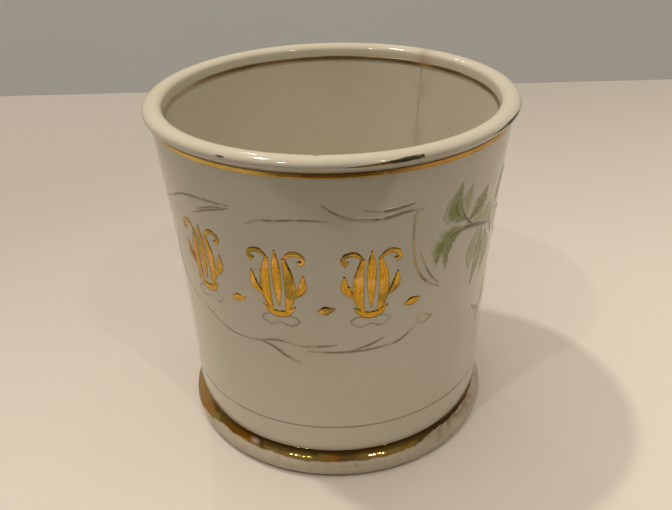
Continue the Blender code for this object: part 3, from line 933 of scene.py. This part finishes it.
# how an ornament is drawn: knots are (mm right of its centre, mm up, half width)
PAIRED_PETALS = (  # (knots, step, raggedness), drawn once on each side
    (((1.7, -6.8, 0.3), (2.8, -2.4, 1.15), (2.8, 3.2, 1.15), (1.9, 8.2, 0.4)), 0.45, 0.12),
    (((3.6, -2.6, 0.2), (5.7, 0.2, 1.0), (6.1, 3.9, 0.2)), 0.45, 0.12),
    (((1.9, 8.0, 0.25), (3.7, 9.5, 0.62), (5.7, 9.2, 0.55), (6.4, 7.8, 0.5), (5.4, 6.9, 0.85)), 0.3, 0.1),
)
MIDDLE_PETALS = (  # (knots, raggedness)
    (((0.0, -5.2, 0.2), (0.0, 0.0, 0.95), (0.0, 5.6, 1.0), (0.0, 10.2, 0.15)), 0.12),
    (((-4.0, -5.0, 0.15), (-2.0, -6.9, 0.8), (0.0, -7.4, 0.95), (2.0, -6.9, 0.8), (4.0, -5.0, 0.15)), 0.1),
)
ORNAMENT_LOOP = ((0.0, -7.6, 0.2), (3.4, -8.0, 0.3), (4.6, -9.3, 0.3), (2.4, -10.7, 0.3), (0.0, -9.7, 0.2))
LOZENGE = ((-2.2, -0.5, 0.15), (-0.2, 0.0, 1.15), (2.0, 0.5, 0.15))

# (azimuth, angle up round the lip, half width) knots of each smear
LIP_SMEARS = (
    ((20.5, -4, 0.08), (25.8, 1, 0.42), (28.2, 5, 0.52), (31.0, 8, 0.70)),
    ((30.2, 8, 0.50), (34.6, 13, 0.86), (37.9, 18, 0.98), (41.4, 21, 0.60)),
    ((66.0, 5, 0.08), (71.0, 10, 0.52), (76.5, 15, 0.72), (82.0, 19, 0.50), (87.0, 23, 0.08)),
    ((-13.2, 21, 0.08), (-11.7, 21.5, 0.36), (-10.4, 22, 0.08)),
    ((12.6, 96, 0.05), (13.6, 97, 0.20), (14.8, 97, 0.05)),
    ((40.2, -30, 0.05), (40.8, -34, 0.16), (41.6, -38, 0.05)),
)


# ---- the setting

CAMERA_AZIMUTH = 18.0
CAMERA_YAW = 0.001
CAMERA_DISTANCE, CAMERA_HEIGHT = 184.35, 149.1
CAMERA_PITCH = 0.522
CAMERA_ROLL = -0.025
CAMERA_LENS = 40.18
TABLE_NEAR_EDGE, TABLE_BOUNCE_EDGE, TABLE_BACK_EDGE = -900.0, -138.0, 293.0
WALL_BEHIND, WALL_BOTTOM, WALL_TOP = 520.0, -700, 1300
STAGE_SIDE = 1500.0
TABLE_PALE, TABLE_PATCH, TABLE_PAINTED_SHADOW = (0.88, 0.825, 0.775), (0.85, 0.795, 0.745), (0.56, 0.525, 0.495)
WALL_PALE, WALL_PATCH, WALL_GLOW = (0.58, 0.515, 0.41), (0.56, 0.50, 0.40), (0.187, 0.185, 0.172)
# the table's painted shadow deepens along this direction, between these two distances in mm
TABLE_SHADOW_DIRECTION, TABLE_SHADOW_START, TABLE_SHADOW_END = (-0.88, 0.77, 0.0), -150.0, 260.0
ROOM_WALL = (0.012, 0.010, 0.007)
ROOM_SEEN = (0.33, 0.31, 0.27)
ROOM_CEILING = (1.155, 1.015, 0.84)
LAMP_COLOUR = (1.0, 0.90, 0.76)
LAMP_AIM_HEIGHT = 45.0

# name, direction (right, back, up) as the camera sees it, distance, radius, watts
LAMPS = (
    ("lamp_left", (-0.37, -0.43, 0.82), 1500.0, 22.0, 1.77),
    ("lamp_left_back", (-0.34, 0.13, 0.93), 1500.0, 35.0, 5.24),
    ("lamp_right", (0.35, -0.50, 0.795), 1500.0, 20.0, 1.45),
    ("lamp_back", (-0.20, 0.63, 0.75), 720.0, 9.0, 0.16),
    ("lamp_right_back", (0.22, 0.15, 0.96), 1500.0, 16.0, 0.3),
)


def flat_stage(name, corners_mm, material):
    obj = mesh_piece(name, corners_mm, [(0, 1, 2, 3)], material)
    return obj


def stage_material(name, colour, patch, roughness, glow=None, far=None):
    """A matt surface. glow is light of its own, and far is a painted shadow: the darker colour it takes
    behind the mug and to the left.
    """
    graph = material_graph(name)
    at = graph.position()
    soft = graph.ramp(graph.noise(at, 0.006, 3.0), 0.35, 0.7)
    fine = graph.ramp(graph.noise(at, 0.25, 3.0), 0.3, 0.7, 0.0, 0.35)
    tone = graph.colour(graph.largest(soft, fine), colour, patch)
    # painted shadow over the table behind the mug and to the left
    if far is not None:
        vectors = {0: at, 1: TABLE_SHADOW_DIRECTION}
        away = graph.add("ShaderNodeVectorMath", vectors, output="Value", operation="DOT_PRODUCT")
        tone = graph.colour(graph.ramp(away, TABLE_SHADOW_START, TABLE_SHADOW_END), tone, far)
    normal = graph.bump(graph.noise(at, 0.6, 3.0), 0.05, 0.0002)
    lit = graph.surface(tone, roughness, normal)
    if glow is not None:
        lit.node.inputs["Emission Color"].default_value = (*glow, 1.0)
        lit.node.inputs["Emission Strength"].default_value = 1.0
    return graph.finish(lit)


def camera_frame(ahead, aside, height):
    """The point this far ahead of the mug's axis as the camera sees it, and this far to its right."""
    a = math.radians(CAMERA_AZIMUTH)
    return (aside * math.cos(a) - ahead * math.sin(a), aside * math.sin(a) + ahead * math.cos(a), height)


def flat_strip(name, near, far, material):
    """A level strip of the table, between two distances ahead of the mug's axis."""
    corners = [camera_frame(near, -STAGE_SIDE, 0), camera_frame(near, STAGE_SIDE, 0),
               camera_frame(far, STAGE_SIDE, 0), camera_frame(far, -STAGE_SIDE, 0)]
    return flat_stage(name, corners, material)


def add_stage():
    """The table and the wall. The table's nearest part shows, but throws no light back on the mug's front."""
    table = stage_material("pale_table", TABLE_PALE, TABLE_PATCH, 0.42, far=TABLE_PAINTED_SHADOW)
    wall = stage_material("plain_wall", WALL_PALE, WALL_PATCH, 0.8, glow=WALL_GLOW)
    flat_strip("table_top", TABLE_BOUNCE_EDGE, TABLE_BACK_EDGE, table)
    nearest = flat_strip("table_nearest", TABLE_NEAR_EDGE, TABLE_BOUNCE_EDGE, table)
    nearest.visible_diffuse = False
    nearest.visible_glossy = False
    around = ((-1, WALL_BOTTOM), (1, WALL_BOTTOM), (1, WALL_TOP), (-1, WALL_TOP))
    upright = [camera_frame(WALL_BEHIND, side * STAGE_SIDE, height) for side, height in around]
    flat_stage("wall_behind", upright, wall)


def add_lamp(name, direction, distance, radius, energy):
    """A round lamp in the direction that the camera's own frame gives, aimed at the mug."""
    data = bpy.data.lights.new(name, "AREA")
    data.shape = "DISK"
    data.size = 2 * radius * MM
    data.energy = energy
    data.color = LAMP_COLOUR
    lamp = bpy.data.objects.new(name, data)
    bpy.context.scene.collection.objects.link(lamp)
    aside, towards_back, up = Vector(direction).normalized() * distance
    position = Vector(camera_frame(towards_back, aside, up)) * MM
    lamp.location = position
    lamp.rotation_euler = (position - Vector((0, 0, LAMP_AIM_HEIGHT)) * MM).to_track_quat("Z", "Y").to_euler()


def add_room_light():
    """The room as light: a pale ceiling over dim walls, mirrored dimmer so that gilding turns dark."""
    graph = Graph(bpy.data.worlds.new("soft_room"))
    direction = graph.add("ShaderNodeTexCoord", {}, output="Generated")
    up = graph.axes(direction)[2]
    tone = graph.colour(graph.ramp(up, 0.65, 0.75), ROOM_WALL, ROOM_CEILING)
    mirrored = graph.add("ShaderNodeLightPath", {}, output="Is Glossy Ray")
    tone = graph.colour(graph.multiply(mirrored, 0.80), tone, ROOM_WALL)
    tone = graph.colour(graph.add("ShaderNodeLightPath", {}, output="Is Camera Ray"), tone, ROOM_SEEN)
    glow = graph.add("ShaderNodeBackground", {"Color": tone, "Strength": 1.0})
    bpy.context.scene.world = graph.finish(glow, "ShaderNodeOutputWorld")


def add_lights():
    for lamp in LAMPS:
        add_lamp(*lamp)
    add_room_light()


def add_camera():
    data = bpy.data.cameras.new("camera")
    data.lens = CAMERA_LENS
    data.sensor_width = 36.0
    data.clip_start = 0.01
    camera = bpy.data.objects.new("camera", data)
    bpy.context.scene.collection.objects.link(camera)
    heading = math.radians(CAMERA_AZIMUTH) - CAMERA_YAW
    forward = Vector((-math.sin(heading) * math.cos(CAMERA_PITCH), math.cos(heading) * math.cos(CAMERA_PITCH),
                      -math.sin(CAMERA_PITCH)))
    level = Vector((math.cos(heading), math.sin(heading), 0.0))
    upright = level.cross(forward)
    right = math.cos(CAMERA_ROLL) * level + math.sin(CAMERA_ROLL) * upright
    up = math.cos(CAMERA_ROLL) * upright - math.sin(CAMERA_ROLL) * level
    turned = Matrix((right, up, -forward)).transposed()
    place = Vector(camera_frame(-CAMERA_DISTANCE, 0.0, CAMERA_HEIGHT)) * MM + Vector((0, 0, TABLE_Z))
    camera.matrix_world = Matrix.Translation(place) @ turned.to_4x4()
    bpy.context.scene.camera = camera


def main():
    glazed = porcelain()
    gold = ornament_gold()
    rim_gold = line_gold("rim_gold", LINE_ORANGE, LINE_GOLD_HIGHLIGHT, (-28.0, 72.0))
    hairline = ring_stain("hairline_stain", HAIRLINE_BROWN, 0.55, (-34.0, 62.0))
    flourish_line = line_paint("worn_flourish", FLOURISH_BROWN, 0.80, 0.14, FLOURISH_GLEAM)
    loop_line = line_paint("faded_line", LOOP_BROWN, 0.60, 0.12)
    green = leaf_paint("leaf_green", LEAF_LIGHT, LEAF_DARK, 1.0)
    pale = leaf_paint("pale_green", PALE_LEAF_LIGHT, PALE_LEAF_DARK, 0.80)
    stem = line_paint("stem_green", STEM_OLIVE, 0.95, 0.25)
    brown = line_paint("twig_brown", TWIG_BROWN, 0.62, 0.16)

    on_root(turn("mug_porcelain", body_section(), glazed, uneven_clay), "porcelain", "mug_body")
    rim_line = wall_run(RIM_LINE_HIGH, RIM_LINE_LOW, 6)
    gilt_ring("rim_line_gilding", rim_line, rim_gold, "bright_gilt", "rim_gilt_line", 0.08)
    low_line = wall_run(HAIRLINE_HIGH, HAIRLINE_LOW, 3)
    gilt_ring("hairline_gilding", low_line, hairline, "worn_gilt", "foot_gilt_hairline", 0.06)
    inner_line = wall_run(LIP_LINE_LOW, LIP_LINE_HIGH, 6, WALL_THICKNESS)
    gilt_ring("lip_line_gilding", inner_line, inner_line_gold(), "worn_gilt", "lip_gilt_line", 0.12)
    gilt_ring("foot_band_gilding", foot_face(), foot_gilding(), "bright_gilt", "foot_gilt_band", 0.10)
    rings = add_handle(glazed)
    add_slip_fillet("upper_slip_fillet", "upper_slip_joint", rings[: HANDLE_RINGS // 2], glazed)
    add_slip_fillet("lower_slip_fillet", "lower_slip_joint", rings[: HANDLE_RINGS // 2 - 1 : -1], glazed)
    add_ornaments(gold, loop_line)
    add_lozenges(gold)
    add_flourishes(flourish_line)
    add_sprig(green, pale, brown, stem)
    add_lip_gilding(smeared_gold())
    add_stage()
    add_lights()
    add_camera()
    bpy.context.scene.view_settings.view_transform = "Standard"


main()
